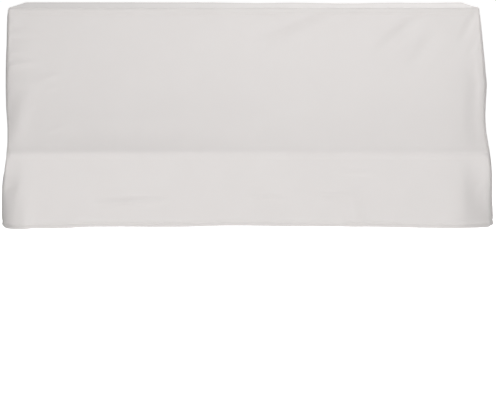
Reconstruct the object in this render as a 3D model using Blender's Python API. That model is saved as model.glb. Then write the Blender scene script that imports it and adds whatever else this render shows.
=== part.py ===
"""Fitted cloth cover for an upright piano, with the piano itself left out.

Five panels are cut flat and sewn along their edges: a top, a front that falls
over the keyboard lid, two sides and a back. The cover is open at the bottom.

Metres, +Z up. The front faces -Y and +X is to the right of someone facing it.
The origin is the centre of the top panel's underside, where the piano holds it.
"""
import math

import bmesh
import bpy
from mathutils import Vector

# The sewn shell before it hangs: a plain box with rounded edges, open below.
HALF_WIDTH = 0.772        # half the width of the top panel
HALF_DEPTH = 0.19         # half the depth of the top panel, front to back
DROP = 0.682              # from the top down to the hem
CLOTH = 0.0021            # thickness of the cloth
EDGE_RADIUS = 0.009       # the cloth's own roundness where two panels meet
SEAM = 0.0005             # each panel stops this far short of the shared edge
MID_ROUND = 0.42          # share of the radius that splits a rounded edge evenly

# How the front stands ahead of the lid's front edge.
CREASE_DROP = 0.438       # the fold over the edge of the keyboard lid
CREASE_RUN = 0.26         # how far that fold stands ahead of the top's edge
SKIRT_SLOPE = 0.035       # the skirt below it still leans forward a little
CREASE_SOFTNESS = 0.003   # how gently the cloth turns over that fold
SLOPE_SAG = 0.037         # how deep the slope above it sags in the middle
SEAM_HOLD = 0.5           # share of that sag that the side seams take out

# Where the cloth turns from the front to the sides, the skirt rounds backwards.
TURN_STARTS = (0.69, 0.63)  # how far from the middle the left and the right corner begin to round
TURN_POWERS = (2.6, 1.9)    # and how suddenly they do
STEADY = 0.012            # the front and the back move as one down to this depth
SIDE_RAMP = 0.022         # how soon a side swells behind its seam
SIDE_STRETCH = 2.0        # a side's folds count drops as shares of half a metre

# Distances from an edge at which a panel has rows, then how many equal steps.
EDGE_ROWS = (SEAM, MID_ROUND * EDGE_RADIUS, EDGE_RADIUS)
ACROSS_ROWS = EDGE_ROWS + (0.035, 0.06, 0.09, 0.13, 0.18)
ACROSS_STEPS = 17
DEPTH_ROWS = EDGE_ROWS + (0.035, 0.07, 0.12)
DEPTH_STEPS = 2
DROP_ROWS = EDGE_ROWS + (
    0.05, 0.10, 0.16, 0.22, 0.28, 0.335, 0.38, 0.412, CREASE_DROP,
    0.452, 0.49, 0.54, 0.59, 0.64, 0.668, DROP,
)

# drop below the top, half width on the left, half width on the right
WIDTHS = (
    (0.00, 0.772, 0.772),
    (0.10, 0.7704, 0.7764),
    (0.20, 0.7678, 0.782),
    (0.25, 0.7657, 0.7838),
    (0.31, 0.7617, 0.7765),
    (0.37, 0.753, 0.7716),
    (0.434, 0.7493, 0.775),
    (0.50, 0.7588, 0.7855),
    (0.56, 0.7706, 0.7917),
    (0.63, 0.7745, 0.7955),
    (0.682, 0.7735, 0.7975),
)

# drop below the top, how far the left side swells, how far the right one does
SWELLS = (
    (0.00, 0.005, 0.003),
    (0.03, 0.011, 0.008),
    (0.15, 0.013, 0.012),
    (0.30, 0.013, 0.014),
    (0.434, 0.011, 0.014),
    (0.56, 0.014, 0.015),
    (0.682, 0.016, 0.022),
)

# drop below the top, how far the left corner rounds back, how far the right does
TURNS = (
    (0.00, 0.000, 0.000),
    (0.10, 0.007, 0.005),
    (0.16, 0.008, 0.012),
    (0.22, 0.014, 0.027),
    (0.29, 0.018, 0.036),
    (0.36, 0.017, 0.031),
    (0.434, 0.009, 0.017),
    (0.49, 0.013, 0.025),
    (0.55, 0.035, 0.051),
    (0.60, 0.048, 0.065),
    (0.682, 0.058, 0.072),
)

# place across the front, how far the hem hangs above its lowest line
HEM_LINE = (
    (-0.76, -0.0065),
    (-0.68, 0.0008),
    (-0.57, 0.0015),
    (-0.49, 0.006),
    (-0.20, 0.006),
    (-0.04, 0.010),
    (0.16, 0.0075),
    (0.40, 0.006),
    (0.52, 0.003),
    (0.68, -0.0005),
    (0.76, -0.008),
)

# Folds of the front: name, then where each starts and ends as across and
# drop, then how far it reaches to each side and how high it stands. It is
# highest halfway along, and a trough has a negative height. One that is
# deepest at the hem ends well below it.
FRONT_FOLDS = (
    ("hollow over the keyboard lid", -0.80, 0.384, 0.20, 0.390, 0.050, -0.0045),
    ("slack of the slope, left", -0.70, 0.27, 0.20, 0.30, 0.150, -0.007),
    ("slack of the slope, right", 0.10, 0.25, 0.72, 0.30, 0.150, -0.004),
    ("right corner trough", 0.738, 0.12, 0.740, 0.48, 0.042, -0.0045),
    ("right seam ridge", 0.754, 0.06, 0.757, 0.47, 0.020, 0.0038),
    ("right shoulder crease", 0.784, -0.020, 0.690, 0.120, 0.020, -0.0055),
    ("first slanting trough", 0.345, 0.000, -0.010, 0.142, 0.030, -0.0095),
    ("second slanting trough", 0.600, 0.005, 0.405, 0.160, 0.030, -0.0095),
    ("third slanting trough", 0.655, 0.040, 0.500, 0.240, 0.040, -0.0065),
    ("left swelling", -0.672, 0.205, -0.772, 0.440, 0.042, 0.0070),
    ("ridge above the swelling", -0.800, 0.222, -0.600, 0.236, 0.030, 0.0035),
    ("right skirt trough", 0.722, 0.420, 0.724, 0.700, 0.050, -0.0085),
    ("left skirt ridge", -0.676, 0.520, -0.706, 0.860, 0.032, 0.0065),
    ("left skirt dent", -0.740, 0.440, -0.744, 0.640, 0.032, -0.005),
    ("soft fold of the skirt", 0.330, 0.545, 0.345, 0.720, 0.040, 0.006),
)

# Folds of a side: name, then start and end as the share of the way back and
# the drop, then the reach as a share of the depth and the height.
LEFT_FOLDS = (
    ("fold from the lid's corner", 0.34, 0.03, 0.18, 1.20, 0.16, 0.012),
    ("hollow before the case", 0.12, 0.16, 0.10, 0.80, 0.13, -0.008),
    ("middle trough", 0.52, 0.10, 0.50, 1.25, 0.16, -0.012),
    ("rear fold", 0.76, 0.06, 0.80, 1.25, 0.17, 0.010),
)
RIGHT_FOLDS = (
    ("fold from the lid's corner", 0.38, 0.02, 0.20, 1.15, 0.17, 0.012),
    ("hollow before the case", 0.14, 0.20, 0.15, 0.76, 0.12, -0.007),
    ("middle trough", 0.60, 0.06, 0.44, 1.25, 0.16, -0.013),
    ("rear fold", 0.82, 0.12, 0.72, 1.25, 0.16, 0.010),
)

# Folds of the back, as across and drop, like those of the front.
BACK_FOLDS = (
    ("left hang", -0.62, 0.12, -0.54, 1.25, 0.120, 0.012),
    ("left trough", -0.41, 0.06, -0.35, 1.25, 0.120, -0.011),
    ("left of the middle", -0.16, 0.18, -0.22, 1.20, 0.120, 0.010),
    ("middle trough", 0.05, 0.10, 0.00, 1.25, 0.120, -0.009),
    ("right of the middle", 0.25, 0.06, 0.30, 1.25, 0.120, 0.012),
    ("right trough", 0.48, 0.14, 0.42, 1.20, 0.120, -0.010),
    ("right hang", 0.66, 0.08, 0.62, 1.25, 0.110, 0.009),
)

# Where the top sinks or, with a negative depth, stands up: across, how far
# back, reach, depth. Its back edge sags and its front corners stand proud.
TOP_SAGS = (
    (0.05, 0.19, 0.16, 0.0020),
    (0.36, 0.19, 0.20, 0.0030),
    (0.62, 0.19, 0.12, 0.0015),
    (-0.772, -0.19, 0.05, -0.0025),
    (0.772, -0.19, 0.05, -0.0030),
)

CLOTH_COLOUR = (0.70, 0.67, 0.655, 1.0)
CLOTH_ROUGHNESS = 0.85


def smooth_read(table, place, column=1):
    """Read a column of a table between its rows, along a smooth curve."""
    rows = [(row[0], row[column]) for row in table]
    place = min(max(place, rows[0][0]), rows[-1][0])
    index = 0
    while index < len(rows) - 2 and place > rows[index + 1][0]:
        index += 1
    (low, start), (high, end) = rows[index], rows[index + 1]
    span = high - low

    def slope(at):
        before, after = rows[max(at - 1, 0)], rows[min(at + 1, len(rows) - 1)]
        return (after[1] - before[1]) / (after[0] - before[0]) * span

    t = (place - low) / span
    return (
        start * (2 * t**3 - 3 * t**2 + 1)
        + end * (3 * t**2 - 2 * t**3)
        + slope(index) * (t**3 - 2 * t**2 + t)
        + slope(index + 1) * (t**3 - t**2)
    )


def hump(distance):
    """A soft rise: 1 in the middle, 0 from a distance of 1 outwards."""
    return max(0.0, 1.0 - distance * distance) ** 2


def folds_at(folds, a, b, stretch=1.0):
    """Add up the folds of a panel at one place on it."""
    height = 0.0
    for _name, a0, b0, a1, b1, reach, rise in folds:
        along = Vector((a1 - a0, (b1 - b0) * stretch))
        offset = Vector((a - a0, (b - b0) * stretch))
        share = offset.dot(along) / along.length_squared
        aside = (offset - along * share).length
        height += rise * hump(2.0 * share - 1.0) * hump(aside / reach)
    return height


def front_run(drop, across):
    """How far the front stands ahead of the top's front edge."""
    past = (drop - CREASE_DROP) / CREASE_SOFTNESS
    past_crease = CREASE_SOFTNESS * (max(past, 0.0) + math.log1p(math.exp(-abs(past))))
    share = (drop - past_crease) / CREASE_DROP
    sag = SLOPE_SAG * (1.0 - SEAM_HOLD * across**4) * 4.0 * share * (1.0 - share)
    return CREASE_RUN * share + SKIRT_SLOPE * past_crease - sag


def drape(point):
    """Carry a point of the plain box to where the cloth hangs."""
    x, y, z = point
    drop = max(-z, 0.0)
    side = 2 if x > 0 else 1
    outward = 1.0 if x > 0 else -1.0
    across = abs(x) / HALF_WIDTH
    forward = min(max(0.5 - 0.5 * y / (HALF_DEPTH - STEADY), 0.0), 1.0)
    backward = 1.0 - forward

    run = front_run(drop, across)
    behind = backward * (2 * HALF_DEPTH + run)
    swell = smooth_read(SWELLS, drop, side) * (1.0 - math.exp(-max(behind, 0.0) / SIDE_RAMP))
    side_folds = RIGHT_FOLDS if x > 0 else LEFT_FOLDS
    swell += folds_at(side_folds, backward, drop, SIDE_STRETCH)
    width = smooth_read(WIDTHS, drop, side)
    new_x = x * width / HALF_WIDTH + outward * swell * across**6

    start = TURN_STARTS[side - 1]
    past_turn = max(abs(x) - start, 0.0) / (HALF_WIDTH - start)
    turn = smooth_read(TURNS, drop, side) * past_turn ** TURN_POWERS[side - 1]
    front_folds = folds_at(FRONT_FOLDS, x, drop)
    back_folds = folds_at(BACK_FOLDS, x, drop)
    new_y = y - forward * (run - turn) - front_folds * forward**3 + back_folds * backward**3

    low = min(drop / DROP, 1.0) ** 5
    new_z = z + smooth_read(HEM_LINE, x) * low * forward
    for sag_x, sag_y, reach, depth in TOP_SAGS:
        near = math.hypot(x - sag_x, y - sag_y) / reach
        new_z -= depth * hump(near) * max(0.0, 1.0 - drop / 0.15)
    return Vector((new_x, new_y, new_z))


def shell_point(sharp, depth_in):
    """Round a point of the sharp box, then sink it into the cloth by depth_in."""
    inner = Vector((
        min(max(sharp.x, EDGE_RADIUS - HALF_WIDTH), HALF_WIDTH - EDGE_RADIUS),
        min(max(sharp.y, EDGE_RADIUS - HALF_DEPTH), HALF_DEPTH - EDGE_RADIUS),
        min(sharp.z, CLOTH - EDGE_RADIUS),
    ))
    outward = (sharp - inner).normalized()
    return inner + outward * (EDGE_RADIUS - depth_in)


def both_ends(half, rows, steps):
    """Rows close together near both edges and evenly spaced between them."""
    low = [row - half for row in rows]
    start = low[-1]
    middle = [start * (1 - 2 * step / steps) for step in range(1, steps)]
    return low + middle + [-place for place in reversed(low)]


def cloth_panel(name, columns, rows, place, material, collection):
    """Make one panel: a flat slab of cloth that is bent to its place."""
    mesh = bpy.data.meshes.new(name)
    bm = bmesh.new()
    bmesh.ops.create_grid(
        bm, x_segments=len(columns) - 1, y_segments=len(rows) - 1, size=0.5
    )
    made = bmesh.ops.extrude_face_region(bm, geom=bm.faces[:])
    back_layer = [item for item in made["geom"] if isinstance(item, bmesh.types.BMVert)]
    bmesh.ops.translate(bm, verts=back_layer, vec=(0.0, 0.0, -CLOTH))
    bmesh.ops.recalc_face_normals(bm, faces=bm.faces)
    for vert in bm.verts:
        column = round((vert.co.x + 0.5) * (len(columns) - 1))
        row = round((vert.co.y + 0.5) * (len(rows) - 1))
        sharp = place(columns[column], rows[row])
        vert.co = drape(shell_point(sharp, -vert.co.z))
    if bm.calc_volume(signed=True) < 0.0:
        bmesh.ops.reverse_faces(bm, faces=bm.faces)
    bm.to_mesh(mesh)
    bm.free()
    mesh.materials.append(material)
    mesh.shade_smooth()
    mesh.set_sharp_from_angle(angle=math.radians(50))
    panel = bpy.data.objects.new(name, mesh)
    collection.objects.link(panel)
    return panel


def cloth_material(name):
    """A thick, matt, off-white cloth."""
    material = bpy.data.materials.new(name)
    material.use_nodes = True
    shader = material.node_tree.nodes["Principled BSDF"]
    shader.inputs["Base Color"].default_value = CLOTH_COLOUR
    shader.inputs["Roughness"].default_value = CLOTH_ROUGHNESS
    shader.inputs["Metallic"].default_value = 0.0
    return material


def main():
    for old in list(bpy.data.objects):
        bpy.data.objects.remove(old, do_unlink=True)
    collection = bpy.data.collections.new("upright_piano_cover")
    bpy.context.scene.collection.children.link(collection)

    across = both_ends(HALF_WIDTH, ACROSS_ROWS, ACROSS_STEPS)
    depth = both_ends(HALF_DEPTH, DEPTH_ROWS, DEPTH_STEPS)
    down = [CLOTH - row for row in DROP_ROWS]
    panels = (
        ("top_panel", across, depth, lambda a, b: Vector((a, b, CLOTH))),
        ("front_panel", across, down, lambda a, b: Vector((a, -HALF_DEPTH, b))),
        ("back_panel", across, down, lambda a, b: Vector((a, HALF_DEPTH, b))),
        ("side_panel_left", depth, down, lambda a, b: Vector((-HALF_WIDTH, a, b))),
        ("side_panel_right", depth, down, lambda a, b: Vector((HALF_WIDTH, a, b))),
    )
    for name, columns, rows, place in panels:
        cloth_panel(name, columns, rows, place, cloth_material(name + "_cloth"), collection)


main()
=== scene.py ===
# %% [markdown]
# # A fitted cloth cover for an upright piano
#
# The cover is sewn from five pieces of thick, off-white brushed cloth: a top, a front that falls
# over the keyboard lid, two sides and a back. It is open below, and the piano itself is left out.
# The CAD model already says where every panel is. This lesson loads that model as a fixed frame
# and sews a finer panel on the place of each CAD panel: with rolled seams, seam allowances, a
# turned hem, rows of stitches, and the small creases that cloth of this kind shows.

# %% The frame
import math

import bmesh
import bpy
from mathutils import Matrix, Vector, noise


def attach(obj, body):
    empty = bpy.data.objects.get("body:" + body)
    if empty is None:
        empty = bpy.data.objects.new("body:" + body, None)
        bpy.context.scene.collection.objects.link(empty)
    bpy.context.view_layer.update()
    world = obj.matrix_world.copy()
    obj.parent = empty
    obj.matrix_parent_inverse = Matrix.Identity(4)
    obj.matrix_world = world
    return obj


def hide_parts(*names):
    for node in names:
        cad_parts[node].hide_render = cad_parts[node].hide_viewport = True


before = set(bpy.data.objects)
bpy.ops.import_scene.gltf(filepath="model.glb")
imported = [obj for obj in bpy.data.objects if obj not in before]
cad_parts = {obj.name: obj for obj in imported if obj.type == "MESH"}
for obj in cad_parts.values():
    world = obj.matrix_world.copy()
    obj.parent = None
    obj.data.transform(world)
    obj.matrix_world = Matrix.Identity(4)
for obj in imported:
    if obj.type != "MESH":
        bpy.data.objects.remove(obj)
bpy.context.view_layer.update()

# %% [markdown]
# ## The sizes of the cover
#
# Before it hangs, the cover is a plain box, open below: as wide and deep as the piano's lid, and
# as high as the drop from the lid to the hem. Every panel is first laid on one face of that box,
# and then one and the same rule carries all of them to the shape in which they hang. Because the
# rule is common to all panels, their seams stay together.

# %% Sizes of the plain box and of the sewing
HALF_WIDTH = 0.772      # half the width of the top
HALF_DEPTH = 0.19       # half the depth of the top, front to back
DROP = 0.682            # from the top down to the hem
CLOTH = 0.0021          # thickness of the cloth
ROLL = 0.0024           # radius with which a panel's outer face rolls into a seam
SEAM_GAP = 0.0004       # room between the two allowances of a seam
ALLOWANCE = 0.011       # cloth left inside, past the seam line
HEM_ROLL = 0.0025       # radius of the outer face where the hem turns up
HEM_DEPTH = 0.015       # how far the hem is turned up inside
HEM_STITCHES = 0.0122   # the row of stitches above the lowest line
TOP_STITCHES = (0.017, 0.0225)  # two rows below the top edge, made by a twin needle
print("Box:", 2 * HALF_WIDTH, "x", 2 * HALF_DEPTH, "x", DROP, "m")

# %% [markdown]
# ## How the cover hangs
#
# The front slopes forward from the lid to the edge of the keyboard lid, turns there in one
# straight crease, and falls almost upright to the hem. A maker would read such a shape off a few
# rows of measures: how wide the cover is at each drop, how far the sides swell, how far the lower
# corners round backwards, and how the hem line rises in the middle.

# %% Measures of the hanging cover
CREASE_DROP = 0.438       # the crease over the edge of the keyboard lid
CREASE_RUN = 0.26         # how far it stands ahead of the top's edge
SKIRT_SLOPE = 0.035       # the skirt below it still leans forward a little
CREASE_SOFTNESS = 0.003   # how gently the cloth turns there
SLOPE_SAG = 0.037         # how deep the slope above it sags in the middle
SEAM_HOLD = 0.5           # share of that sag that the side seams take out
TURN_STARTS = (0.69, 0.63)  # from the middle, where the left and the right corner start to round
TURN_POWERS = (2.6, 1.9)  # and how suddenly they do
STEADY = 0.012            # the front and the back move as one down to this depth
SIDE_RAMP = 0.022         # how soon a side swells behind its seam
SIDE_STRETCH = 2.0        # a side's folds count drops as shares of half a metre
SAG_POWER = 4             # the seams take out the sag only near the sides
SWELL_POWER = 6           # a side's swelling is felt only near that side
FOLD_POWER = 3            # a fold of the front or the back dies out along the sides
HEM_POWER = 5             # the hem line's rise is felt only low on the front
TOP_SAG_DROP = 0.15       # the top's sags die out this far down

# drop below the top, half width on the left, half width on the right
WIDTHS = (
    (0.00, 0.772, 0.772),
    (0.10, 0.7704, 0.7764),
    (0.20, 0.7678, 0.782),
    (0.25, 0.7657, 0.7838),
    (0.31, 0.7617, 0.7765),
    (0.37, 0.753, 0.7716),
    (0.434, 0.7493, 0.775),
    (0.50, 0.7588, 0.7855),
    (0.56, 0.7706, 0.7917),
    (0.63, 0.7745, 0.7955),
    (0.682, 0.7735, 0.7975),
)
# drop below the top, how far the left side swells, how far the right one does
SWELLS = (
    (0.00, 0.005, 0.003),
    (0.03, 0.011, 0.008),
    (0.15, 0.013, 0.012),
    (0.30, 0.013, 0.014),
    (0.434, 0.011, 0.014),
    (0.56, 0.014, 0.015),
    (0.682, 0.016, 0.022),
)
# drop below the top, how far the left corner rounds back, how far the right does
TURNS = (
    (0.00, 0.000, 0.000),
    (0.10, 0.007, 0.005),
    (0.16, 0.008, 0.012),
    (0.22, 0.014, 0.027),
    (0.29, 0.018, 0.036),
    (0.36, 0.017, 0.031),
    (0.434, 0.009, 0.017),
    (0.49, 0.013, 0.025),
    (0.55, 0.035, 0.051),
    (0.60, 0.048, 0.065),
    (0.682, 0.058, 0.072),
)
# place across the front, how far the hem hangs above its lowest line
HEM_LINE = (
    (-0.76, -0.0065),
    (-0.68, 0.0008),
    (-0.57, 0.0015),
    (-0.49, 0.006),
    (-0.20, 0.006),
    (-0.04, 0.010),
    (0.16, 0.0075),
    (0.40, 0.006),
    (0.52, 0.003),
    (0.68, -0.0005),
    (0.76, -0.008),
)
# where the top sinks or, with a negative depth, stands up: across, back, reach, depth
TOP_SAGS = (
    (0.05, 0.19, 0.16, 0.0020),
    (0.36, 0.19, 0.20, 0.0030),
    (0.62, 0.19, 0.12, 0.0015),
    (-0.772, -0.19, 0.05, -0.0025),
    (0.772, -0.19, 0.05, -0.0030),
)
print("Rows of widths, swells and turns:", len(WIDTHS), len(SWELLS), len(TURNS))

# %% [markdown]
# ## The large folds
#
# Each fold is a soft trough or ridge along a short line. One row gives its name, where it starts
# and ends as across and drop, how far it reaches to each side, and how high it stands. Placing
# the main folds one by one keeps them where the real cover has them. A cloth simulation would put
# them where it likes.

# %% Folds of the front, the sides and the back
FRONT_FOLDS = (
    ("hollow over the keyboard lid", -0.80, 0.384, 0.20, 0.390, 0.050, -0.0045),
    ("slack of the slope, left", -0.70, 0.27, 0.20, 0.30, 0.150, -0.007),
    ("slack of the slope, right", 0.10, 0.25, 0.72, 0.30, 0.150, -0.004),
    ("right corner trough", 0.738, 0.12, 0.740, 0.48, 0.042, -0.0045),
    ("right seam ridge", 0.754, 0.06, 0.757, 0.47, 0.020, 0.0038),
    ("right shoulder crease", 0.784, -0.020, 0.690, 0.120, 0.020, -0.0055),
    ("first slanting trough", 0.345, 0.000, -0.010, 0.142, 0.030, -0.0095),
    ("second slanting trough", 0.600, 0.005, 0.405, 0.160, 0.030, -0.0095),
    ("third slanting trough", 0.655, 0.040, 0.500, 0.240, 0.040, -0.0065),
    ("left swelling", -0.672, 0.205, -0.772, 0.440, 0.042, 0.0070),
    ("ridge above the swelling", -0.800, 0.222, -0.600, 0.236, 0.030, 0.0035),
    ("right skirt trough", 0.722, 0.420, 0.724, 0.700, 0.050, -0.0085),
    ("left skirt ridge", -0.676, 0.520, -0.706, 0.860, 0.032, 0.0065),
    ("left skirt dent", -0.740, 0.440, -0.744, 0.640, 0.032, -0.005),
    ("soft fold of the skirt", 0.330, 0.545, 0.345, 0.720, 0.040, 0.006),
)
# on a side: the share of the way back and the drop, and the reach as a share of the depth
LEFT_FOLDS = (
    ("fold from the lid's corner", 0.34, 0.03, 0.18, 1.20, 0.16, 0.012),
    ("hollow before the case", 0.12, 0.16, 0.10, 0.80, 0.13, -0.008),
    ("middle trough", 0.52, 0.10, 0.50, 1.25, 0.16, -0.012),
    ("rear fold", 0.76, 0.06, 0.80, 1.25, 0.17, 0.010),
)
RIGHT_FOLDS = (
    ("fold from the lid's corner", 0.38, 0.02, 0.20, 1.15, 0.17, 0.012),
    ("hollow before the case", 0.14, 0.20, 0.15, 0.76, 0.12, -0.007),
    ("middle trough", 0.60, 0.06, 0.44, 1.25, 0.16, -0.013),
    ("rear fold", 0.82, 0.12, 0.72, 1.25, 0.16, 0.010),
)
BACK_FOLDS = (
    ("left hang", -0.62, 0.12, -0.54, 1.25, 0.120, 0.012),
    ("left trough", -0.41, 0.06, -0.35, 1.25, 0.120, -0.011),
    ("left of the middle", -0.16, 0.18, -0.22, 1.20, 0.120, 0.010),
    ("middle trough", 0.05, 0.10, 0.00, 1.25, 0.120, -0.009),
    ("right of the middle", 0.25, 0.06, 0.30, 1.25, 0.120, 0.012),
    ("right trough", 0.48, 0.14, 0.42, 1.20, 0.120, -0.010),
    ("right hang", 0.66, 0.08, 0.62, 1.25, 0.110, 0.009),
)
print("Large folds:", len(FRONT_FOLDS) + len(LEFT_FOLDS) + len(RIGHT_FOLDS) + len(BACK_FOLDS))

# %% [markdown]
# ## Reading the measures
#
# Between two rows of a table the cloth follows a smooth curve, not a straight line, so no kink
# shows at a row. A fold fades out at both ends and to both sides.


# %% Helpers for tables and folds
def smooth_read(table, place, column=1):
    """Read a column of a table between its rows, along a smooth curve."""
    rows = [(row[0], row[column]) for row in table]
    place = min(max(place, rows[0][0]), rows[-1][0])
    index = 0
    while index < len(rows) - 2 and place > rows[index + 1][0]:
        index += 1
    (low, start), (high, end) = rows[index], rows[index + 1]
    span = high - low

    def slope(at):
        before, after = rows[max(at - 1, 0)], rows[min(at + 1, len(rows) - 1)]
        return (after[1] - before[1]) / (after[0] - before[0]) * span

    t = (place - low) / span
    return (
        start * (2 * t**3 - 3 * t**2 + 1)
        + end * (3 * t**2 - 2 * t**3)
        + slope(index) * (t**3 - 2 * t**2 + t)
        + slope(index + 1) * (t**3 - t**2)
    )


def hump(distance):
    """A soft rise: 1 in the middle, 0 from a distance of 1 outwards."""
    return max(0.0, 1.0 - distance * distance) ** 2


def ease(share):
    """From 0 to 1 without a kink at either end."""
    share = min(max(share, 0.0), 1.0)
    return share * share * (3.0 - 2.0 * share)


def folds_at(folds, a, b, stretch=1.0):
    """Add up the folds of a panel at one place on it."""
    height = 0.0
    for _name, a0, b0, a1, b1, reach, rise in folds:
        run_a, run_b = a1 - a0, (b1 - b0) * stretch
        off_a, off_b = a - a0, (b - b0) * stretch
        squared = run_a * run_a + run_b * run_b
        share = (off_a * run_a + off_b * run_b) / squared
        if 0.0 < share < 1.0:
            aside = abs(off_a * run_b - off_b * run_a) / math.sqrt(squared)
            height += rise * hump(2.0 * share - 1.0) * hump(aside / reach)
    return height


print("Half width 0.3 m below the top, on the left:", round(smooth_read(WIDTHS, 0.3), 4))

# %% [markdown]
# ## From the plain box to the hanging cover
#
# `drape` takes a point of the plain box and moves it to where the cloth hangs. The front runs
# forward with the drop, and the crease is the place where that run stops growing.


# %% The rule that all panels share
def front_run(drop, across):
    """How far the front stands ahead of the top's front edge."""
    past = (drop - CREASE_DROP) / CREASE_SOFTNESS
    past_crease = CREASE_SOFTNESS * (max(past, 0.0) + math.log1p(math.exp(-abs(past))))
    share = (drop - past_crease) / CREASE_DROP
    sag = SLOPE_SAG * (1.0 - SEAM_HOLD * across**SAG_POWER) * 4.0 * share * (1.0 - share)
    return CREASE_RUN * share + SKIRT_SLOPE * past_crease - sag


def drape(point):
    """Carry a point of the plain box to where the cloth hangs."""
    x, y, z = point
    drop = max(-z, 0.0)
    side = 2 if x > 0 else 1
    outward = 1.0 if x > 0 else -1.0
    across = abs(x) / HALF_WIDTH
    forward = min(max(0.5 - 0.5 * y / (HALF_DEPTH - STEADY), 0.0), 1.0)
    backward = 1.0 - forward

    run = front_run(drop, across)
    behind = backward * (2 * HALF_DEPTH + run)
    swell = smooth_read(SWELLS, drop, side) * (1.0 - math.exp(-behind / SIDE_RAMP))
    side_folds = RIGHT_FOLDS if x > 0 else LEFT_FOLDS
    swell += folds_at(side_folds, backward, drop, SIDE_STRETCH)
    width = smooth_read(WIDTHS, drop, side)
    new_x = x * width / HALF_WIDTH + outward * swell * across**SWELL_POWER

    start = TURN_STARTS[side - 1]
    past_turn = max(abs(x) - start, 0.0) / (HALF_WIDTH - start)
    turn = smooth_read(TURNS, drop, side) * past_turn ** TURN_POWERS[side - 1]
    new_y = y - forward * (run - turn)
    new_y -= folds_at(FRONT_FOLDS, x, drop) * forward**FOLD_POWER
    new_y += folds_at(BACK_FOLDS, x, drop) * backward**FOLD_POWER

    low = min(drop / DROP, 1.0) ** HEM_POWER
    new_z = z + smooth_read(HEM_LINE, x) * low * forward
    for sag_x, sag_y, reach, depth in TOP_SAGS:
        near = math.hypot(x - sag_x, y - sag_y) / reach
        new_z -= depth * hump(near) * max(0.0, 1.0 - drop / TOP_SAG_DROP)
    return Vector((new_x, new_y, new_z))


crease = drape(Vector((0.0, -HALF_DEPTH, -CREASE_DROP)))
print("The crease stands", round(-HALF_DEPTH - crease.y, 3), "m ahead of the lid's edge")

# %% [markdown]
# ## How cloth runs into a seam
#
# At a seam both panels roll inwards and lie face to face inside: that part is the allowance. Seen
# along the edge, a panel's face is flat, then turns by three eighths of a circle, and then runs
# slanting into the box, half-way between the two faces. At the hem the same cloth turns by half a
# circle and comes up again inside. Both runs give three things for a distance along the cloth:
# where the face is, how deep it lies, and how far it must give way sideways to the neighbour.

# %% Runs of cloth at a seam and at the hem
SEAM_TURN = math.radians(135)
SEAM_ARC = ROLL * SEAM_TURN
SEAM_START = ROLL * (1.0 + math.sqrt(2.0)) + SEAM_GAP / math.sqrt(2.0)
HEM_ARC = HEM_ROLL * math.pi
GIVE_WAY = 0.06          # the allowance's end is shortened over this length of panel


def seam_run(distance):
    """Place from the box's edge, depth and sideways pull at a distance from the seam line."""
    pull = 1.0 - ease(distance / GIVE_WAY)
    if distance >= SEAM_ARC:
        return SEAM_START + distance - SEAM_ARC, 0.0, pull
    angle = SEAM_TURN * (1.0 - max(distance, 0.0) / SEAM_ARC)
    place = SEAM_START - ROLL * math.sin(angle)
    depth = ROLL - ROLL * math.cos(angle)
    past = max(-distance, 0.0) / math.sqrt(2.0)
    return place + past, depth + past, pull


def hem_run(distance):
    """Drop and depth at a distance past the place where the hem starts to turn."""
    turn_drop = DROP - HEM_ROLL
    if distance <= 0.0:
        return turn_drop + distance, 0.0
    angle = min(distance / HEM_ROLL, math.pi)
    past = max(distance - HEM_ARC, 0.0)
    return turn_drop + HEM_ROLL * math.sin(angle) - past, HEM_ROLL - HEM_ROLL * math.cos(angle)


FLAT_START = SEAM_START - SEAM_ARC      # a flat place on the box, less its distance on the cloth
ACROSS = 2 * (HALF_WIDTH - FLAT_START)  # seam line to seam line across the piano
ALONG = 2 * (HALF_DEPTH - FLAT_START)   # seam line to seam line from front to back
TO_HEM = DROP - HEM_ROLL - FLAT_START  # seam line to where the hem turns
print("Seam to seam:", round(ACROSS, 4), "across,", round(ALONG, 4), "from front to back")


# %% The place of a face point on the plain box
def between_seams(distance, length):
    """Place from the middle, depth and pull on a panel with a seam at both ends."""
    if distance <= length / 2:
        place, depth, pull = seam_run(distance)
        return place - FLAT_START - length / 2, depth, pull
    place, depth, pull = seam_run(length - distance)
    return length / 2 + FLAT_START - place, depth, -pull


def seam_to_hem(distance):
    """Drop, depth and pull on a panel with a seam above and a hem below."""
    if distance <= TO_HEM:
        place, depth, pull = seam_run(distance)
        return place, depth, pull
    return *hem_run(distance - TO_HEM), 0.0


print("Lowest line of the hem:", round(-(hem_run(HEM_ARC / 2)[0] - CLOTH), 4), "m")

# %% [markdown]
# ## Small creases and unevenness
#
# Sewn cloth is never quite flat. It puckers beside a seam, because the thread is a little shorter
# than the cloth. The hem ripples between its stitches, and slack cloth keeps short creases near
# the corners. All of this is a relief on the panel's face, mostly a millimetre or two high. It
# fades out at the seam lines, so that two panels still meet there.

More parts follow.
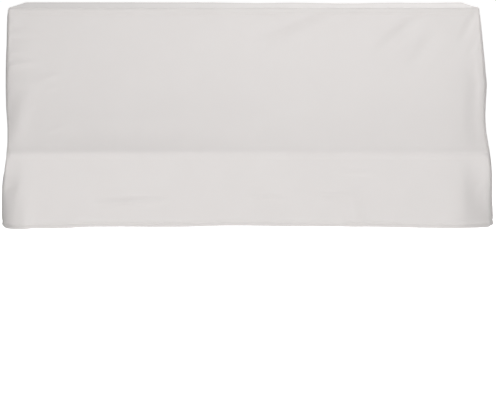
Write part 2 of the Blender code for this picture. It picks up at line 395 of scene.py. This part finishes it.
# %% Small creases of the front, and the relief of cloth beside its seams
FRONT_CREASES = (
    ("left seam, first pucker", -0.810, 0.074, -0.670, 0.048, 0.013, -0.0026),
    ("left seam, second pucker", -0.830, 0.104, -0.650, 0.092, 0.014, -0.0030),
    ("left seam, third pucker", -0.810, 0.146, -0.690, 0.138, 0.012, 0.0022),
    ("pucker below the left shoulder", -0.820, 0.188, -0.640, 0.166, 0.012, 0.0040),
    ("short crease beside it", -0.660, 0.222, -0.580, 0.206, 0.011, 0.0024),
    ("short crease below", -0.665, 0.264, -0.585, 0.240, 0.012, 0.0024),
    ("crease over the swelling", -0.715, 0.318, -0.640, 0.286, 0.013, 0.0016),
    ("crease above the keyboard lid", -0.665, 0.388, -0.565, 0.356, 0.013, 0.0022),
    ("bottom of the first trough", 0.280, 0.028, 0.030, 0.126, 0.020, -0.0022),
    ("right shoulder, second crease", 0.772, 0.075, 0.716, 0.165, 0.014, -0.0016),
    ("right seam, upper pucker", 0.765, 0.130, 0.720, 0.160, 0.012, 0.0012),
    ("right seam, middle pucker", 0.765, 0.235, 0.722, 0.250, 0.014, -0.0014),
    ("right seam, lower pucker", 0.768, 0.330, 0.725, 0.352, 0.014, 0.0013),
    ("left skirt wrinkle", -0.490, 0.604, -0.220, 0.592, 0.014, 0.0092),
    ("middle skirt wrinkle", 0.000, 0.584, 0.150, 0.592, 0.012, 0.0052),
    ("right skirt wrinkle", 0.210, 0.580, 0.350, 0.578, 0.012, 0.0042),
    ("upper skirt wrinkle", 0.260, 0.497, 0.420, 0.506, 0.011, 0.0036),
    ("left corner of the skirt", -0.775, 0.560, -0.715, 0.545, 0.020, -0.0024),
    ("right corner of the skirt", 0.765, 0.520, 0.715, 0.590, 0.018, 0.0018),
)
WAVE = 0.0009            # height of the slow waves in the cloth
WAVE_SIZE = 0.11         # and their size
DIMPLE = 0.00025         # height of the small unevenness
DIMPLE_SIZE = 0.03       # and its size
DIMPLE_SEED = 5.5        # every effect reads the noise at its own seed
PUCKER = 0.0006          # height of the puckers beside the seams of the top
SIDE_PUCKER = 1.5 * PUCKER  # and beside an upright seam
PUCKER_SIZE = 0.032      # how far apart they are
PUCKER_REACH = 0.015     # they stand highest this far from the seam line
HEM_RIPPLE = 0.0005      # height of the ripples in the hem
HEM_RIPPLE_SIZE = 0.024  # how far apart they are
HEM_RIPPLE_LENGTH = 0.05
HEM_RIPPLE_SLANT = 0.6   # they lean, because a hem twists as it is sewn
HEM_RIPPLE_REACH = 0.035  # how far above the lowest line they go
STITCH_DIP = 0.0005      # how deep a row of stitches pulls the cloth in
STITCH_DIP_REACH = 0.0035  # and how far to each side
HEM_DIP = 0.0028         # the row in the hem pulls through three layers, so it sits deeper
HEM_DIP_REACH = 0.0065   # and wider
BAND_RISE = 0.0006       # the allowances lift the cloth above the upper rows of stitches
CREASE_ROLL = 0.0026     # how proud the bend over the keyboard lid stands
CREASE_ROLL_BELOW = 0.004  # its middle lies this far below the crease
CREASE_ROLL_REACH = 0.022  # and it reaches this far up and down
SEAM_FADE = 0.012        # the relief grows to its full height over this length


def unevenness(a, b, seed):
    """Slow waves and small dimples of slack cloth."""
    slow = noise.noise(Vector((a / WAVE_SIZE, b / WAVE_SIZE, seed)))
    small = noise.noise(Vector((a / DIMPLE_SIZE, b / DIMPLE_SIZE, seed + DIMPLE_SEED)))
    return WAVE * slow + DIMPLE * small


def puckers(along, aside, seed, height=PUCKER, size=PUCKER_SIZE, reach=PUCKER_REACH):
    """Short ridges that run away from a seam."""
    wave = noise.noise(Vector((along / size, aside / (4 * reach), seed)))
    return height * wave * hump((aside - reach) / (2 * reach))


def skirt_relief(a, b, half, seed):
    """Relief of a panel that hangs from the top edge to the hem."""
    height = unevenness(a, b, seed)
    height += puckers(a, b, seed + 1.0)
    height += puckers(b, half - abs(a), seed + (2.0 if a > 0 else 3.0), SIDE_PUCKER)
    height += BAND_RISE * hump((b - TOP_STITCHES[0] / 2) / (TOP_STITCHES[0] / 2))
    above_hem = DROP - b
    along = (a + HEM_RIPPLE_SLANT * above_hem) / HEM_RIPPLE_SIZE
    ripple = noise.noise(Vector((along, above_hem / HEM_RIPPLE_LENGTH, seed + 4.0)))
    height += HEM_RIPPLE * ripple * hump(above_hem / HEM_RIPPLE_REACH)
    return height


def crease_roll(b):
    """The front stands a little proud where it bends over the keyboard lid."""
    return CREASE_ROLL * hump((b - CREASE_DROP - CREASE_ROLL_BELOW) / CREASE_ROLL_REACH)


def stitch_dips(b):
    """How deep the rows of stitches pull in the face of such a panel."""
    upper = STITCH_DIP * sum(hump((b - row) / STITCH_DIP_REACH) for row in TOP_STITCHES)
    return upper + HEM_DIP * hump((b - DROP + HEM_STITCHES) / HEM_DIP_REACH)


print("Small creases on the front:", len(FRONT_CREASES))

# %% [markdown]
# ## What a panel is
#
# A panel is described once: how to find a place across and down it, on which face of the box it
# lies, and what relief it has. `face_point` puts this together. The same description later tells
# the stitches where they go.


# %% The description of a panel
class Panel:
    """One cut piece of the cover."""

    def __init__(self, name, node, across, down, place, relief):
        self.name = name
        self.node = node
        self.across = across
        self.down = down
        self.place = place
        self.relief = relief

    def face_point(self, u, v):
        """A point of the outer face, at distances along the cloth."""
        a, depth_a, pull_a = self.across(u)
        b, depth_b, pull_b = self.down(v)
        a, b = a + pull_a * depth_b, b + pull_b * depth_a
        return drape(self.place(a, b, depth_a + depth_b - self.relief(a, b, u, v)))


def near_seams(u, v, width, height=None):
    """0 where the cloth rolls into a seam, 1 further in."""
    share = ease((min(u, width - u) - SEAM_ARC / 2) / SEAM_FADE)
    share *= ease((v - SEAM_ARC / 2) / SEAM_FADE)
    if height is not None:
        share *= ease((height - v - SEAM_ARC / 2) / SEAM_FADE)
    return share


def hanging_relief(half, width, seed, creases=()):
    """Make the relief rule of a panel between the top edge and the hem."""
    def relief(a, b, u, v):
        height = skirt_relief(a, b, half, seed) + folds_at(creases, a, b)
        if creases:
            height += crease_roll(b)
        if v < TO_HEM:
            height -= stitch_dips(b)
        return height * near_seams(u, v, width)
    return relief


TOP_SEED, FRONT_SEED, BACK_SEED, LEFT_SEED, RIGHT_SEED = 11.0, 21.0, 31.0, 41.0, 51.0
TOP_EVENNESS = 0.4       # the lid presses most of the unevenness out of the top
REAR_PUCKER = 2.5 * PUCKER
REAR_PUCKER_SIZE = 0.038


def top_relief(a, b, u, v):
    """The top lies on the piano's lid; only its edges pucker, and most of all the rear one."""
    height = TOP_EVENNESS * unevenness(a, b, TOP_SEED)
    height += puckers(a, b + HALF_DEPTH, TOP_SEED + 1.0)
    height += puckers(a, HALF_DEPTH - b, TOP_SEED + 2.0, REAR_PUCKER, REAR_PUCKER_SIZE)
    height += puckers(b, HALF_WIDTH - abs(a), TOP_SEED + 3.0)
    return height * near_seams(u, v, ACROSS, ALONG)


def across_piano(u):
    """Across the whole width of the piano, from seam to seam."""
    return between_seams(u, ACROSS)


def across_side(u):
    """Across an end of the piano, from seam to seam."""
    return between_seams(u, ALONG)


PANELS = (
    Panel("top_cloth", "top_panel", across_piano, across_side,
          lambda a, b, depth: Vector((a, b, CLOTH - depth)), top_relief),
    Panel("front_cloth", "front_panel", across_piano, seam_to_hem,
          lambda a, b, depth: Vector((a, depth - HALF_DEPTH, CLOTH - b)),
          hanging_relief(HALF_WIDTH, ACROSS, FRONT_SEED, FRONT_CREASES)),
    Panel("back_cloth", "back_panel", across_piano, seam_to_hem,
          lambda a, b, depth: Vector((a, HALF_DEPTH - depth, CLOTH - b)),
          hanging_relief(HALF_WIDTH, ACROSS, BACK_SEED)),
    Panel("left_side_cloth", "side_panel_left", across_side, seam_to_hem,
          lambda a, b, depth: Vector((depth - HALF_WIDTH, a, CLOTH - b)),
          hanging_relief(HALF_DEPTH, ALONG, LEFT_SEED)),
    Panel("right_side_cloth", "side_panel_right", across_side, seam_to_hem,
          lambda a, b, depth: Vector((HALF_WIDTH - depth, a, CLOTH - b)),
          hanging_relief(HALF_DEPTH, ALONG, RIGHT_SEED)),
)
print("Panels:", ", ".join(panel.name for panel in PANELS))

# %% [markdown]
# ## Where the grid of a panel needs its rows
#
# A fine grid everywhere would be slow and heavy. Rows stand close together only where the cloth
# turns quickly: in the seams, at the rows of stitches, at the crease and in the hem.


# %% Rows of the grids
def graded(stops, end):
    """Rows from stop to stop; each stop says where it is and how long the steps after it are."""
    rows = [stops[0][0]]
    for (start, step), (after, _) in zip(stops, (*stops[1:], (end, 0.0))):
        count = max(1, math.ceil((after - start) / step - 1e-6))
        rows += [start + (after - start) * (index + 1) / count for index in range(count)]
    return rows


WIDE_STEP = 0.0075       # where the cloth is nearly flat
CLOSE_STEP = 0.003       # beside a seam and beside the crease
CREASE_STEP = 0.0015     # in the crease itself
STITCH_STEP = 0.0014     # at the rows of stitches
FLAP_STEP = 0.004        # in the part of the hem that is turned up inside
SEAM_BAND = 0.025        # how far from a seam the close steps go on
CREASE_BAND = 0.024      # how far from the crease they do
CREASE_CORE = 0.009      # how far from it the closest ones do
STITCH_BAND = 0.004      # the stitch steps go on this far past the last row
HEM_BAND = 0.014         # they start again this far above the hem's turn
SEAM_STOPS = ((-ALLOWANCE, ALLOWANCE / 2), (0.0, SEAM_ARC / 6), (SEAM_ARC, CLOSE_STEP))


def seam_both_ends(length):
    """Rows of a run with a seam at both ends."""
    half = graded((*SEAM_STOPS, (SEAM_BAND, WIDE_STEP)), length / 2)
    return half + [length - row for row in reversed(half[:-1])]


CREASE_ROW = CREASE_DROP + CLOTH - FLAT_START
NO_FLAPS = TO_HEM - HEM_BAND   # below this row the panel's sides have no allowance
DOWN_ROWS = graded((
    *SEAM_STOPS[:2],
    (SEAM_ARC, STITCH_STEP),
    (TOP_STITCHES[1] + STITCH_BAND, WIDE_STEP),
    (CREASE_ROW - CREASE_BAND, CLOSE_STEP),
    (CREASE_ROW - CREASE_CORE, CREASE_STEP),
    (CREASE_ROW + CREASE_CORE, CLOSE_STEP),
    (CREASE_ROW + CREASE_BAND, WIDE_STEP),
    (NO_FLAPS, STITCH_STEP),
    (TO_HEM, HEM_ARC / 8),
    (TO_HEM + HEM_ARC, FLAP_STEP),
), TO_HEM + HEM_ARC + HEM_DEPTH - HEM_ROLL)
ACROSS_ROWS = seam_both_ends(ACROSS)
ALONG_ROWS = seam_both_ends(ALONG)
print("Rows across, along and down:", len(ACROSS_ROWS), len(ALONG_ROWS), len(DOWN_ROWS))

# %% [markdown]
# ## Sewing a panel
#
# A panel starts as a flat grid, like the cut cloth. The corners of the allowance are snipped off,
# and every point is carried to its place. The UV map keeps the true distances along the cloth, in
# metres, so that nap and weave have the same size everywhere. Solidify then gives the cloth its
# thickness, towards the inside. The panel stands for its CAD node, which is hidden.


# %% Make one panel
INSIDE = Vector((0.0, -0.5 * HALF_DEPTH, -DROP / 2))   # a place inside the cover


def snipped(u, v, width, down_is_seamed):
    """Is this place in a corner where the allowance is cut away?"""
    beside = u < 0.0 or u > width
    if down_is_seamed:
        return beside and (v < 0.0 or v > ALONG)
    return beside and (v < 0.0 or v > NO_FLAPS)


def lay_uv(bm, points, columns, rows, row_of, column_of):
    """Give every corner its distance along the cloth from the middle and from the top row."""
    middle = columns // 2
    across = [[0.0] * columns for _ in range(rows)]
    down = [[0.0] * columns for _ in range(rows)]
    for row in range(rows):
        for column in range(middle + 1, columns):
            step = (points[row][column] - points[row][column - 1]).length
            across[row][column] = across[row][column - 1] + step
        for column in range(middle - 1, -1, -1):
            step = (points[row][column] - points[row][column + 1]).length
            across[row][column] = across[row][column + 1] - step
        if row:
            for column in range(columns):
                step = (points[row][column] - points[row - 1][column]).length
                down[row][column] = down[row - 1][column] - step
    uv = bm.loops.layers.uv.new("cloth")
    for face in bm.faces:
        for loop in face.loops:
            row, column = loop.vert[row_of], loop.vert[column_of]
            loop[uv].uv = (across[row][column], down[row][column])


def sew_panel(panel):
    """Lay out the flat cloth, fold it to its place and give it its thickness."""
    us = ALONG_ROWS if panel.across is across_side else ACROSS_ROWS
    vs = ALONG_ROWS if panel.down is across_side else DOWN_ROWS
    width = ALONG if panel.across is across_side else ACROSS
    bm = bmesh.new()
    for name in ("row", "column"):
        bm.verts.layers.int.new(name)
    bmesh.ops.create_grid(bm, x_segments=len(us) - 1, y_segments=len(vs) - 1, size=0.5)
    row_of, column_of = bm.verts.layers.int["row"], bm.verts.layers.int["column"]
    points = [[None] * len(us) for _ in vs]
    for vert in bm.verts:
        column = round((vert.co.x + 0.5) * (len(us) - 1))
        row = round((0.5 - vert.co.y) * (len(vs) - 1))
        vert[row_of], vert[column_of] = row, column
        vert.co = panel.face_point(us[column], vs[row])
        points[row][column] = vert.co.copy()
    lay_uv(bm, points, len(us), len(vs), row_of, column_of)
    cut = []
    for face in bm.faces:
        u = sum(us[vert[column_of]] for vert in face.verts) / 4
        v = sum(vs[vert[row_of]] for vert in face.verts) / 4
        if snipped(u, v, width, panel.down is across_side):
            cut.append(face)
    bmesh.ops.delete(bm, geom=cut, context="FACES")
    middle = panel.face_point(us[len(us) // 2], vs[len(vs) // 2])
    nearest = min(bm.faces, key=lambda face: (face.calc_center_median() - middle).length)
    if nearest.normal.dot(middle - INSIDE) < 0.0:
        bmesh.ops.reverse_faces(bm, faces=bm.faces)
    area = sum(face.calc_area() for face in bm.faces)
    mesh = bpy.data.meshes.new(panel.name)
    bm.to_mesh(mesh)
    bm.free()
    mesh.shade_smooth()
    piece = bpy.data.objects.new(panel.name, mesh)
    bpy.context.scene.collection.objects.link(piece)
    thickness = piece.modifiers.new("thickness", "SOLIDIFY")
    thickness.thickness = CLOTH
    thickness.offset = -1.0
    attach(piece, "root")
    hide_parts(panel.node)
    return piece, area


# %% Sew all five
PIECES = {}
AREAS = {}
for panel in PANELS:
    piece, area = sew_panel(panel)
    PIECES[panel.name], AREAS[panel.name] = piece, area
    print(f"{panel.name}: {len(piece.data.polygons)} faces, {area:.3f} m2 of cloth")

# %% [markdown]
# ## Rows of stitches
#
# A stitch is a short bulge of thread that dives into the cloth at both ends. One small spheroid
# is enough for it. It is copied along the row, turned to the run of the cloth and sunk about
# half-way into its face. Two rows run below the top edge all round, and one row holds the hem.

# %% Stitch rows
STITCH_PITCH = 0.0042    # from one stitch to the next
STITCH_LENGTH = 0.0036
THREAD = 0.00036         # half the thickness of the thread
STITCH_SINK = 0.00005    # how deep the middle of a stitch lies in the face
NEXT_ALONG = 0.002       # a second place along the row shows which way it runs
NEXT_DOWN = 0.0005       # and one below it shows which way the cloth hangs


def stitch_template():
    """One stitch at the origin, along X, with Z away from the cloth."""
    bm = bmesh.new()
    bmesh.ops.create_uvsphere(bm, u_segments=6, v_segments=4, radius=1.0)
    turn = Matrix.Rotation(math.radians(90), 4, "Y")
    size = Matrix.Diagonal((STITCH_LENGTH / 2, THREAD, THREAD, 1.0))
    bmesh.ops.transform(bm, matrix=size @ turn, verts=bm.verts)
    mesh = bpy.data.meshes.new("one_stitch")
    bm.to_mesh(mesh)
    bm.free()
    return mesh


def stitch_row(bm, template, panel, width, v):
    """Sew one row across a panel, at one distance down it."""
    count = int((width - 2 * SEAM_ARC) / STITCH_PITCH)
    for index in range(count):
        u = SEAM_ARC + (index + 0.5) * (width - 2 * SEAM_ARC) / count
        here = panel.face_point(u, v)
        along = (panel.face_point(u + NEXT_ALONG, v) - here).normalized()
        down = (panel.face_point(u, v + NEXT_DOWN) - here).normalized()
        outward = along.cross(down).normalized()
        if outward.dot(here - Vector((0.0, -HALF_DEPTH / 2, here.z))) < 0.0:
            outward.negate()
        turn = Matrix((along, outward.cross(along), outward)).transposed().to_4x4()
        before = len(bm.verts)
        bm.from_mesh(template)
        bm.verts.ensure_lookup_table()
        place = Matrix.Translation(here - outward * STITCH_SINK) @ turn
        bmesh.ops.transform(bm, matrix=place, verts=bm.verts[before:])
    return count


def sew_stitches(name, panel, rows):
    """All the stitches of one kind on a panel, as one piece."""
    width = ALONG if panel.across is across_side else ACROSS
    template = stitch_template()
    bm = bmesh.new()
    count = sum(stitch_row(bm, template, panel, width, v) for v in rows)
    mesh = bpy.data.meshes.new(name)
    bm.to_mesh(mesh)
    bm.free()
    bpy.data.meshes.remove(template)
    mesh.shade_smooth()
    piece = bpy.data.objects.new(name, mesh)
    bpy.context.scene.collection.objects.link(piece)
    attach(piece, "root")
    print(f"{name}: {count} stitches")
    return piece


STITCHES = {}
for panel in PANELS[1:]:
    side = panel.name.removesuffix("_cloth")
    upper = [row - FLAT_START for row in TOP_STITCHES]
    lower = [DROP - HEM_STITCHES - FLAT_START]
    STITCHES[panel.name] = [
        sew_stitches(f"{side}_top_stitches", panel, upper),
        sew_stitches(f"{side}_hem_stitches", panel, lower),
    ]

# %% [markdown]
# ## The flat cut of the sheets
#
# Each panel is a sheet of cloth, and its flat cut is printed: the width and length to which it is
# cut before sewing, with allowances and hem. The front and the sides are wider below than above,
# so their area is less than width times length.

# %% Flat sizes
for panel in PANELS:
    piece = PIECES[panel.name]
    uv = piece.data.uv_layers["cloth"].data
    across = [loop.uv[0] for loop in uv]
    down = [loop.uv[1] for loop in uv]
    flat = (round(max(across) - min(across), 3), round(max(down) - min(down), 3))
    area = min(round(AREAS[panel.name], 3), round(flat[0] * flat[1], 3))
    print(panel.name, "is cut from", flat, "m, area", area, "m2")

# %% [markdown]
# ## The finish of the cloth
#
# The cloth is thick, matt and slightly napped, a warm off-white. Two effects are used by more
# than one material, so each is a node group of its own: a soft mottle that makes the colour
# uneven, and a fine weave seen through the nap.


# %% Node groups
PATCH_DETAIL, FLECK_DETAIL, NAP_DETAIL = 2.0, 3.0, 4.0
NAP_SCALE = 1100.0


def add_group(name, inputs, outputs):
    """Start a node group with named sockets."""
    group = bpy.data.node_groups.new(name, "ShaderNodeTree")
    for socket, kind, value in inputs:
        made = group.interface.new_socket(socket, in_out="INPUT", socket_type=kind)
        if value is not None:
            made.default_value = value
    for socket, kind in outputs:
        group.interface.new_socket(socket, in_out="OUTPUT", socket_type=kind)
    return group, group.nodes.new("NodeGroupInput"), group.nodes.new("NodeGroupOutput")


def math_node(tree, operation, first, second):
    """A Math node on two sockets or numbers."""
    node = tree.nodes.new("ShaderNodeMath")
    node.operation = operation
    for socket, value in zip(node.inputs, (first, second)):
        if isinstance(value, bpy.types.NodeSocket):
            tree.links.new(value, socket)
        else:
            socket.default_value = value
    return node.outputs[0]


def noise_node(tree, vector, scale, detail):
    """A Noise Texture on a vector socket."""
    node = tree.nodes.new("ShaderNodeTexNoise")
    node.inputs["Detail"].default_value = detail
    tree.links.new(vector, node.inputs["Vector"])
    if isinstance(scale, bpy.types.NodeSocket):
        tree.links.new(scale, node.inputs["Scale"])
    else:
        node.inputs["Scale"].default_value = scale
    return node.outputs["Fac"]


def mottle_group():
    """Soft patches and fine flecks, as one value around one half."""
    group, given, result = add_group(
        "soft_mottle",
        (("Vector", "NodeSocketVector", None), ("Patches", "NodeSocketFloat", 6.0),
         ("Flecks", "NodeSocketFloat", 400.0), ("Fleck share", "NodeSocketFloat", 0.3)),
        (("Value", "NodeSocketFloat"),),
    )
    patches = noise_node(group, given.outputs["Vector"], given.outputs["Patches"], PATCH_DETAIL)
    flecks = noise_node(group, given.outputs["Vector"], given.outputs["Flecks"], FLECK_DETAIL)
    mix = group.nodes.new("ShaderNodeMix")
    group.links.new(given.outputs["Fleck share"], mix.inputs["Factor"])
    group.links.new(patches, mix.inputs["A"])
    group.links.new(flecks, mix.inputs["B"])
    group.links.new(mix.outputs["Result"], result.inputs["Value"])
    return group


def weave_group():
    """Threads that cross, seen through a nap, as a height and a mask of the gaps."""
    group, given, result = add_group(
        "napped_weave",
        (("Vector", "NodeSocketVector", None), ("Threads per metre", "NodeSocketFloat", 1400.0),
         ("Nap", "NodeSocketFloat", 0.5)),
        (("Height", "NodeSocketFloat"), ("Gaps", "NodeSocketFloat")),
    )
    split = group.nodes.new("ShaderNodeSeparateXYZ")
    group.links.new(given.outputs["Vector"], split.inputs[0])
    turns = math_node(group, "MULTIPLY", given.outputs["Threads per metre"], math.pi)
    waves = []
    for axis in ("X", "Y"):
        phase = math_node(group, "MULTIPLY", split.outputs[axis], turns)
        waves.append(math_node(group, "ABSOLUTE", math_node(group, "SINE", phase, 0.0), 0.0))
    threads = math_node(group, "MULTIPLY", waves[0], waves[1])
    nap = noise_node(group, given.outputs["Vector"], NAP_SCALE, NAP_DETAIL)
    mix = group.nodes.new("ShaderNodeMix")
    group.links.new(given.outputs["Nap"], mix.inputs["Factor"])
    group.links.new(threads, mix.inputs["A"])
    group.links.new(nap, mix.inputs["B"])
    group.links.new(mix.outputs["Result"], result.inputs["Height"])
    group.links.new(math_node(group, "SUBTRACT", 1.0, threads), result.inputs["Gaps"])
    return group


MOTTLE = mottle_group()
WEAVE = weave_group()
print("Node groups:", MOTTLE.name, WEAVE.name)

# %% [markdown]
# ## The cloth and the thread
#
# The cloth's colour varies by a percent or two. A little sheen stands for the fine hairs of the
# nap, which catch the light where the cloth turns away. The thread is a little smoother and less
# even in colour, and the same weave, with less nap, roughens it.

# %% Materials
CLOTH_LIGHT = (0.735, 0.707, 0.695, 1.0)
CLOTH_DARK = (0.702, 0.674, 0.661, 1.0)
THREAD_LIGHT = (0.76, 0.735, 0.715, 1.0)
THREAD_DARK = (0.62, 0.595, 0.575, 1.0)
CLOTH_ROUGHNESS = 0.9    # about the middle of its spread
ROUGHNESS_SPREAD = (0.82, 0.96)   # on the threads, in the gaps
THREAD_ROUGHNESS = 0.6
GLOSS = 0.25             # cloth reflects less than a smooth plastic
SHEEN = 0.15
SHEEN_ROUGHNESS = 0.5
CLOTH_BUMP = (0.0003, 0.35)       # depth in metres, strength
THREAD_BUMP = (0.0002, 0.4)
TONE_DARK, TONE_LIGHT, TONE_MIXED = 6, 7, 2   # the colour sockets of a Mix node


def start_material(name, roughness):
    """A new material with its Principled shader."""
    material = bpy.data.materials.new(name)
    material.use_nodes = True
    shader = material.node_tree.nodes["Principled BSDF"]
    shader.inputs["Roughness"].default_value = roughness
    shader.inputs["Specular IOR Level"].default_value = GLOSS
    return material, material.node_tree, shader


def place_group(tree, group, vector, **values):
    """Put a node group in a material with its own values."""
    node = tree.nodes.new("ShaderNodeGroup")
    node.node_tree = group
    tree.links.new(vector, node.inputs["Vector"])
    for name, value in values.items():
        node.inputs[name.replace("_", " ")].default_value = value
    return node


def two_tone(tree, value, dark, light, shader):
    """Colour the shader between two tones."""
    mix = tree.nodes.new("ShaderNodeMix")
    mix.data_type = "RGBA"
    mix.inputs[TONE_DARK].default_value = dark
    mix.inputs[TONE_LIGHT].default_value = light
    tree.links.new(value, mix.inputs["Factor"])
    tree.links.new(mix.outputs[TONE_MIXED], shader.inputs["Base Color"])


def bump(tree, height, distance, strength, shader):
    """Turn a height into a bump on the shader."""
    node = tree.nodes.new("ShaderNodeBump")
    node.inputs["Distance"].default_value = distance
    node.inputs["Strength"].default_value = strength
    tree.links.new(height, node.inputs["Height"])
    tree.links.new(node.outputs["Normal"], shader.inputs["Normal"])


def cloth_material():
    """Thick, napped, off-white cloth."""
    material, tree, shader = start_material("napped_cloth", CLOTH_ROUGHNESS)
    shader.inputs["Sheen Weight"].default_value = SHEEN
    shader.inputs["Sheen Roughness"].default_value = SHEEN_ROUGHNESS
    uv = tree.nodes.new("ShaderNodeUVMap")
    uv.uv_map = "cloth"
    mottle = place_group(tree, MOTTLE, uv.outputs["UV"], Patches=7.0, Flecks=500.0)
    weave = place_group(tree, WEAVE, uv.outputs["UV"], Nap=0.6)
    two_tone(tree, mottle.outputs["Value"], CLOTH_DARK, CLOTH_LIGHT, shader)
    spread = tree.nodes.new("ShaderNodeMapRange")
    spread.inputs["To Min"].default_value = ROUGHNESS_SPREAD[0]
    spread.inputs["To Max"].default_value = ROUGHNESS_SPREAD[1]
    tree.links.new(weave.outputs["Gaps"], spread.inputs["Value"])
    tree.links.new(spread.outputs["Result"], shader.inputs["Roughness"])
    bump(tree, weave.outputs["Height"], *CLOTH_BUMP, shader)
    return material


def thread_material():
    """Sewing thread, a little rough."""
    material, tree, shader = start_material("sewing_thread", THREAD_ROUGHNESS)
    coords = tree.nodes.new("ShaderNodeTexCoord")
    mottle = place_group(tree, MOTTLE, coords.outputs["Object"], Patches=40.0, Flecks=900.0)
    two_tone(tree, mottle.outputs["Value"], THREAD_DARK, THREAD_LIGHT, shader)
    weave = place_group(tree, WEAVE, coords.outputs["Object"], Nap=0.3)
    bump(tree, weave.outputs["Height"], *THREAD_BUMP, shader)
    return material


NAPPED_CLOTH = cloth_material()
SEWING_THREAD = thread_material()
for piece in PIECES.values():
    piece.data.materials.append(NAPPED_CLOTH)
for row in (row for rows in STITCHES.values() for row in rows):
    row.data.materials.append(SEWING_THREAD)
print("Finished", len(PIECES), "panels in", NAPPED_CLOTH.name)

# %% [markdown]
# ## The floor
#
# The piano would stand on a plain pale floor. The cover hangs above it, as high as the lid of a
# full-size upright.

# %% Floor
LID_HEIGHT = 1.266
FLOOR_HALF = 40.0        # half the side of the floor
FLOOR_COLOUR = (0.9, 0.9, 0.9, 1.0)
FLOOR_ROUGHNESS = 0.9
WHITE = (1.0, 1.0, 1.0, 1.0)
FLOOR_GLOW = 0.85        # keeps the floor as white as the room, without lighting the cover


def lay_floor():
    """One large square of pale floor."""
    bm = bmesh.new()
    bmesh.ops.create_grid(bm, x_segments=1, y_segments=1, size=FLOOR_HALF)
    bmesh.ops.translate(bm, verts=bm.verts, vec=(0.0, 0.0, -LID_HEIGHT))
    mesh = bpy.data.meshes.new("studio_floor")
    bm.to_mesh(mesh)
    bm.free()
    material, tree, shader = start_material("pale_floor", FLOOR_ROUGHNESS)
    shader.inputs["Base Color"].default_value = FLOOR_COLOUR
    shader.inputs["Emission Color"].default_value = WHITE
    path = tree.nodes.new("ShaderNodeLightPath")
    glow = math_node(tree, "MULTIPLY", path.outputs["Is Camera Ray"], FLOOR_GLOW)
    tree.links.new(glow, shader.inputs["Emission Strength"])
    mesh.materials.append(material)
    floor = bpy.data.objects.new("studio_floor", mesh)
    bpy.context.scene.collection.objects.link(floor)


lay_floor()
print("The floor lies", LID_HEIGHT, "m below the lid")

# %% [markdown]
# ## Light and camera
#
# The room is white, and most of the light on the cover is soft light from the front. Three small
# lamps stand nearer: two above and one low on the left, so that the slope is brightest near the
# lid and the skirt is brighter than the slope. One lamp above lights the top. Two stand far
# behind, and the one on the right is stronger, so the top brightens towards that side. The
# camera stands in front, a little higher than the lid, and looks slightly down.

# %% World and lamps
ROOM_LIGHT = 0.18        # how strongly the white room lights the cloth
LAMPS = (
    # name, place, what it points at, width, height, power in watts
    ("front_lamp", (0.0, -5.5, 0.2), (0.0, -0.3, -0.3), 3.0, 2.5, 117.0),
    ("upper_middle_lamp", (0.2, -3.2, 1.2), (0.06, -0.3, -0.35), 1.0, 1.0, 6.6),
    ("upper_right_lamp", (1.6, -3.2, 1.2), (0.48, -0.3, -0.35), 1.0, 1.0, 12.2),
    ("low_left_lamp", (-1.2, -3.2, -0.8), (-0.36, -0.3, -0.35), 1.0, 1.0, 11.6),
    ("top_lamp", (0.3, -0.2, 1.6), (0.2, 0.0, 0.0), 1.2, 1.0, 14.8),
    ("rear_right_lamp", (2.5, 3.0, 1.5), (0.3, 0.0, 0.0), 1.5, 1.5, 106.0),
    ("rear_left_lamp", (-2.5, 3.0, 1.5), (-0.3, 0.0, 0.0), 1.5, 1.5, 34.0),
)


def light_room():
    """White to the camera, and a softer white to the cloth."""
    world = bpy.data.worlds.new("white_room")
    world.use_nodes = True
    tree = world.node_tree
    background = tree.nodes["Background"]
    background.inputs["Color"].default_value = WHITE
    path = tree.nodes.new("ShaderNodeLightPath")
    strength = tree.nodes.new("ShaderNodeMapRange")
    strength.inputs["To Min"].default_value = ROOM_LIGHT
    strength.inputs["To Max"].default_value = 1.0
    tree.links.new(path.outputs["Is Camera Ray"], strength.inputs["Value"])
    tree.links.new(strength.outputs["Result"], background.inputs["Strength"])
    bpy.context.scene.world = world


def hang_lamp(name, place, aim, width, height, power):
    """One soft lamp that points at a place and doesn't show itself."""
    lamp = bpy.data.lights.new(name, "AREA")
    lamp.shape = "RECTANGLE"
    lamp.size, lamp.size_y = width, height
    lamp.energy = power
    held = bpy.data.objects.new(name, lamp)
    held.location = place
    held.rotation_euler = (Vector(aim) - Vector(place)).to_track_quat("-Z", "Y").to_euler()
    held.visible_camera = False
    bpy.context.scene.collection.objects.link(held)


light_room()
for lamp in LAMPS:
    hang_lamp(*lamp)
bpy.context.scene.view_settings.view_transform = "Standard"
print("Lamps:", len(LAMPS))

# %% Camera
CAMERA_PLACE = (0.0138, -4.79, 0.2475)
CAMERA_TILT = 10.96      # degrees below level
LENS = 101.2             # millimetres, as is the sensor's width
SENSOR_WIDTH = 36.0
camera_data = bpy.data.cameras.new("camera")
camera_data.lens = LENS
camera_data.sensor_width = SENSOR_WIDTH
camera = bpy.data.objects.new("camera", camera_data)
camera.location = CAMERA_PLACE
camera.rotation_euler = (math.radians(90.0 - CAMERA_TILT), 0.0, 0.0)
bpy.context.scene.collection.objects.link(camera)
bpy.context.scene.camera = camera
print("Camera:", CAMERA_PLACE)
